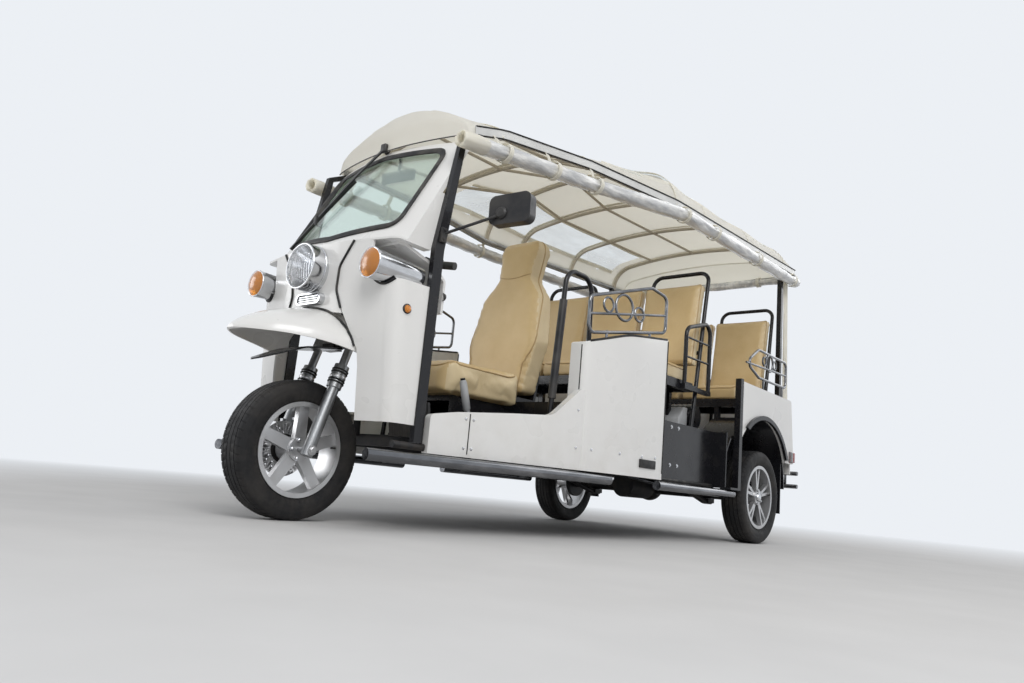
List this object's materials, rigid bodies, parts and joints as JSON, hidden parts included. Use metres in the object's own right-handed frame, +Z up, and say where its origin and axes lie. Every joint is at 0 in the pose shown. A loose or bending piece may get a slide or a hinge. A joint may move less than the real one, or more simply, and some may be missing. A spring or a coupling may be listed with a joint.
{
  "type": "auto rickshaw",
  "caption": "Stretched electric three-wheel auto rickshaw with canvas roof, raked screen, bucket driver seat and rows of passenger seats",
  "frame": {"origin": "on the ground under the middle of the whole vehicle's length and width", "axes": "+X towards the vehicle's left, -Y forward, +Z up"},
  "size_m": [1.5752, 3.76, 2.0518],
  "materials": {
    "black_frame": "gloss black paint",
    "chrome": "polished bright plating",
    "dark_floor": "dark ribbed floor covering",
    "dark_plastic": "black moulded plastic",
    "white_body": "gloss white paint",
    "clear_glass": "clear",
    "grey_rail": "grey paint",
    "canvas": "coated cream canvas",
    "curtain_canvas": "pale coated canvas, rolled up",
    "tan_vinyl": "tan stitched vinyl",
    "red_lens": "red lamp lens",
    "axle_steel": "dark painted casting",
    "fork_alloy": "satin silver",
    "alloy": "silver painted alloy",
    "disc_steel": "turned steel",
    "tyre_rubber": "black rubber"
  },
  "bodies": {
    "chassis": {"chassis_frame": "black_frame", "sill_tubes": "chrome", "front_floor": "dark_floor", "passenger_deck": "dark_floor", "battery_block": "dark_plastic", "nose_cowl": "white_body", "leg_shields": "white_body", "front_visor": "white_body", "screen_surround": "white_body", "windscreen": "clear_glass", "lamp_shells": "chrome", "lamp_lenses": "clear_glass", "nose_grille": "chrome", "dash_panel": "dark_plastic", "roof_posts": "black_frame", "roof_rails": "grey_rail", "roof_bows": "grey_rail", "roof_canopy": "canvas", "rolled_curtains": "curtain_canvas", "seat_bases": "black_frame", "bench_cushions": "tan_vinyl", "bench_backs": "tan_vinyl", "seat_hoops": "black_frame", "grab_loops": "black_frame", "driver_seat_cushion": "tan_vinyl", "driver_seat_back": "tan_vinyl", "sill_mouldings": "white_body", "mid_panels": "white_body", "rear_panels": "white_body", "wheel_tubs": "dark_plastic", "wheel_flares": "dark_plastic", "tail_lamps": "red_lens", "panel_rails": "chrome", "rear_axle": "axle_steel", "rear_suspension": "black_frame", "rear_bumper": "chrome", "mirrors": "dark_plastic", "wiper": "dark_plastic"},
    "fork_body": {"fork": "fork_alloy", "handlebar": "dark_plastic", "mudguard_blade": "dark_plastic"},
    "front_wheel": {"front_tyre": "tyre_rubber", "front_rim": "alloy", "front_disc": "disc_steel"},
    "rear_wheel_left": {"rear_tyre_left": "tyre_rubber", "rear_rim_left": "alloy"},
    "rear_wheel_right": {"rear_tyre_right": "tyre_rubber", "rear_rim_right": "alloy"}
  },
  "joints": [
    {"name": "steering", "type": "hinge", "parent": "chassis", "child": "fork_body", "pos_m": [0, -1.54, 0.2725], "axis": [0, 0.2924, 0.9563], "range_deg": [-38, 38]},
    {"name": "front_wheel_spin", "type": "hinge", "parent": "fork_body", "child": "front_wheel", "pos_m": [0, -1.54, 0.2725], "axis": [1, 0, 0], "continuous": true},
    {"name": "rear_left_spin", "type": "hinge", "parent": "chassis", "child": "rear_wheel_left", "pos_m": [0.693, 1.222, 0.2725], "axis": [1, 0, 0], "continuous": true},
    {"name": "rear_right_spin", "type": "hinge", "parent": "chassis", "child": "rear_wheel_right", "pos_m": [-0.693, 1.222, 0.2725], "axis": [1, 0, 0], "continuous": true}
  ]
}
